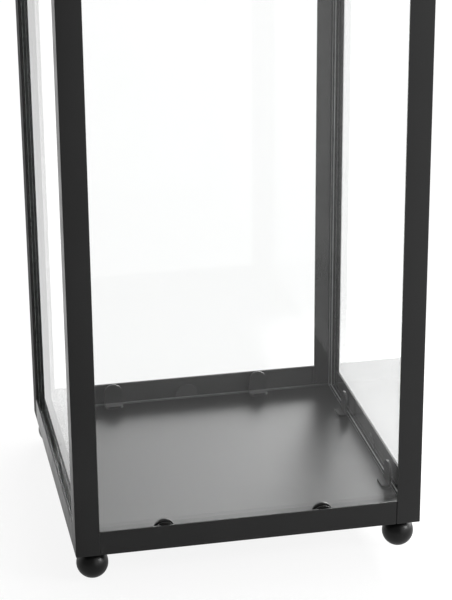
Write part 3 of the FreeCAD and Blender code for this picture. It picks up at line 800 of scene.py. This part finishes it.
def ring_mesh(centre, radius, wire, tilt):
    """A closed wire ring whose plane is tilted about X."""
    around, section = 96, 24
    bm = bmesh.new()
    rings = []
    for i in range(around):
        a = 2 * math.pi * i / around
        out = Vector((math.cos(a), math.sin(a), 0))
        rings.append([bm.verts.new(out * (radius + wire * math.cos(2 * math.pi * j / section))
                                   + Vector((0, 0, wire * math.sin(2 * math.pi * j / section))))
                      for j in range(section)])
    for i in range(around):
        skin(bm, rings[i], rings[(i + 1) % around])
    place = Matrix.Translation(centre) @ Matrix.Rotation(tilt, 4, "X")
    bmesh.ops.transform(bm, matrix=place, verts=bm.verts)
    return bm


low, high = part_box("carrying_ring")
RING_OUTER = 40 * MM
RING_WIRE = 4 * MM
RING_TILT = math.radians(27)
piece("hanging_ring",
      ring_mesh((low + high) / 2, RING_OUTER - RING_WIRE, RING_WIRE, RING_TILT),
      [ROOF_PAINT], "ring", ["carrying_ring"], edge=0)


# --- Hinges and latch ------------------------------------------------------------------------

PIN_DOME = 0.6 * MM
RIVET_DOME = 0.8 * MM
RIVET_SHANK = 1.5 * MM          # radii of the shanks of rivets and studs
STUD_SHANK = 2 * MM
STUD_HEAD = 1.5 * MM            # thickness of a stud's head, and how much of it is domed
STUD_DOME = 0.9 * MM

for side in ("left", "right"):
    for body in ("frame", "roof"):
        node = "hinge_%s_leaf_%s" % (body, side)
        piece("leaf_%s_%s" % (body, side), cad_copy(node), [HARDWARE, EDGE_PAINT], body,
              [node], edge=0.25 * MM)
    node = "hinge_pin_" + side
    low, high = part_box(node)
    end = dome((high.z - low.z) / 2, (high.x - low.x) / 2, PIN_DOME)
    piece("pin_" + side, lathe(upside_down(end) + end, (low + high) / 2, "X"),
          [PIN_STEEL], "frame", [node], edge=0)


def rivet(x, z, low_y, high_y, head):
    """A rivet along Y with a domed head at each end."""
    half = (high_y - low_y) / 2
    end = dome(head, half, RIVET_DOME)
    shank = [(RIVET_SHANK, RIVET_DOME - half), (RIVET_SHANK, half - RIVET_DOME)]
    return lathe(upside_down(end) + shank + end, Vector((x, (low_y + high_y) / 2, z)), "Y")


low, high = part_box("hinge_pin_right")
HINGE_MIDDLE = (low.x + high.x) / 2
for body in ("frame", "roof"):
    node = "hinge_rivets_" + body
    low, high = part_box(node)
    head = (high.z - low.z) / 2
    spread = high.x - head - HINGE_MIDDLE
    rivets = [rivet(sign * HINGE_MIDDLE + side * spread, (low.z + high.z) / 2, low.y, high.y, head)
              for sign in (-1, 1) for side in (-1, 1)]
    piece("rivets_" + body, merged(*rivets), [PIN_STEEL], body, [node], edge=0)


def headed_stud(node, name, body):
    """A welded stud with a domed head, pointing forwards from the front face."""
    low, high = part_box(node)
    head, length = (high.x - low.x) / 2, high.y - low.y
    behind = STUD_HEAD - length
    profile = (upside_down(dome(head, length, STUD_DOME))
               + [(head, behind), (STUD_SHANK, behind), (STUD_SHANK, 0.0), (0.0, 0.0)])
    place = Vector((0, high.y, (low.z + high.z) / 2))
    piece(name, lathe(profile, place, "Y"), [HARDWARE], body, [node],
          edge=0.15 * MM)


headed_stud("latch_pivot_stud", "pivot_stud", "frame")
headed_stud("latch_catch_stud", "catch_stud", "roof")
piece("hook", cad_copy("latch_hook"), [HARDWARE, EDGE_PAINT], "latch", ["latch_hook"],
      edge=0.3 * MM)


# --- Studio ----------------------------------------------------------------------------------

FLOOR_SIZE = 30.0               # metres across
# The surround's brightness on each side, and where it fades from one to the other: at which Y
# of a direction, of length 1, from front to back, at which X from left to right, and at which Z
# from level to straight up.
SURROUND_FRONT, SURROUND_BACK = 0.48, 2.5
SURROUND_LEFT, SURROUND_RIGHT = 0.44, 2.7
SURROUND_LEVEL, SURROUND_TOP = 1.0, 0.45
FADE_BACK = (-0.3, 0.85)
FADE_RIGHT = (0.05, 0.4)
FADE_UP = (0.45, 0.8)
SOFTBOX_PLACE = (2.0, -1.2, 1.2)
# The camera that was fitted to the edges measured in the photograph.
CAMERA_PLACE = (-0.3167, -1.6139, 0.8408)
CAMERA_AIM = Vector((0.0102, 0.0, 0.1814))
CAMERA_ROLL = math.radians(-0.47)
CAMERA_LENS = 123.6             # millimetres, on a sensor of the width below
CAMERA_SENSOR = 36


def floor_sheet(name, size, material):
    """A square sheet level with the lantern's feet, marked as staging."""
    mesh = bpy.data.meshes.new(name)
    half = size / 2
    corners = [(-half, -half, 0.0), (half, -half, 0.0), (half, half, 0.0), (-half, half, 0.0)]
    mesh.from_pydata(corners, [], [(0, 1, 2, 3)])
    mesh.materials.append(material)
    made = bpy.data.objects.new(name, mesh)
    bpy.context.scene.collection.objects.link(made)
    made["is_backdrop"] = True


floor_sheet("studio_floor", FLOOR_SIZE, pale_floor("pale_floor"))

scene = bpy.context.scene
world = bpy.data.worlds.new("studio")
world.use_nodes = True
scene.world = world


def soft_surround(tree):
    """A white surround, brighter at the back and on the right, and dimmer overhead."""
    direction = add_node(tree, "ShaderNodeTexCoord").outputs["Generated"]
    split = add_node(tree, "ShaderNodeSeparateXYZ")
    tree.links.new(direction, split.inputs["Vector"])

    def fade(axis, reach, low, high):
        """A soft step from low to high along one axis."""
        node = add_node(tree, "ShaderNodeMapRange",
                        From_Min=reach[0], From_Max=reach[1], To_Min=low, To_Max=high)
        node.interpolation_type = "SMOOTHSTEP"
        tree.links.new(split.outputs[axis], node.inputs["Value"])
        return node.outputs["Result"]

    def product(first, second):
        node = add_node(tree, "ShaderNodeMath")
        node.operation = "MULTIPLY"
        tree.links.new(first, node.inputs[0])
        tree.links.new(second, node.inputs[1])
        return node.outputs["Value"]

    level = product(fade("Y", FADE_BACK, SURROUND_FRONT, SURROUND_BACK),
                    fade("X", FADE_RIGHT, SURROUND_LEFT, SURROUND_RIGHT))
    strength = product(level, fade("Z", FADE_UP, SURROUND_LEVEL, SURROUND_TOP))
    backdrop = tree.nodes["Background"]
    backdrop.inputs["Color"].default_value = (1, 1, 1, 1)
    tree.links.new(strength, backdrop.inputs["Strength"])


soft_surround(world.node_tree)
scene.view_settings.view_transform = "Standard"


def soft_light(name, place, aim, size, power):
    """A square softbox, its size in metres and its power in watts, turned to face a point."""
    light = bpy.data.lights.new(name, "AREA")
    light.shape = "SQUARE"
    light.size = size
    light.energy = power
    lamp = bpy.data.objects.new(name, light)
    lamp.location = place
    lamp.rotation_mode = "QUATERNION"
    lamp.rotation_quaternion = (Vector(place) - Vector(aim)).to_track_quat("Z", "Y")
    scene.collection.objects.link(lamp)


soft_light("softbox_right", SOFTBOX_PLACE, (CAD_LOW + CAD_HIGH) / 2, size=0.8, power=30)

camera_data = bpy.data.cameras.new("camera")
camera_data.lens = CAMERA_LENS
camera_data.sensor_width = CAMERA_SENSOR
camera = bpy.data.objects.new("camera", camera_data)
camera.location = CAMERA_PLACE
look = (camera.location - CAMERA_AIM).to_track_quat("Z", "Y")
camera.rotation_mode = "QUATERNION"
camera.rotation_quaternion = look @ Matrix.Rotation(CAMERA_ROLL, 3, "Z").to_quaternion()
scene.collection.objects.link(camera)
scene.camera = camera

low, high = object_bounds()
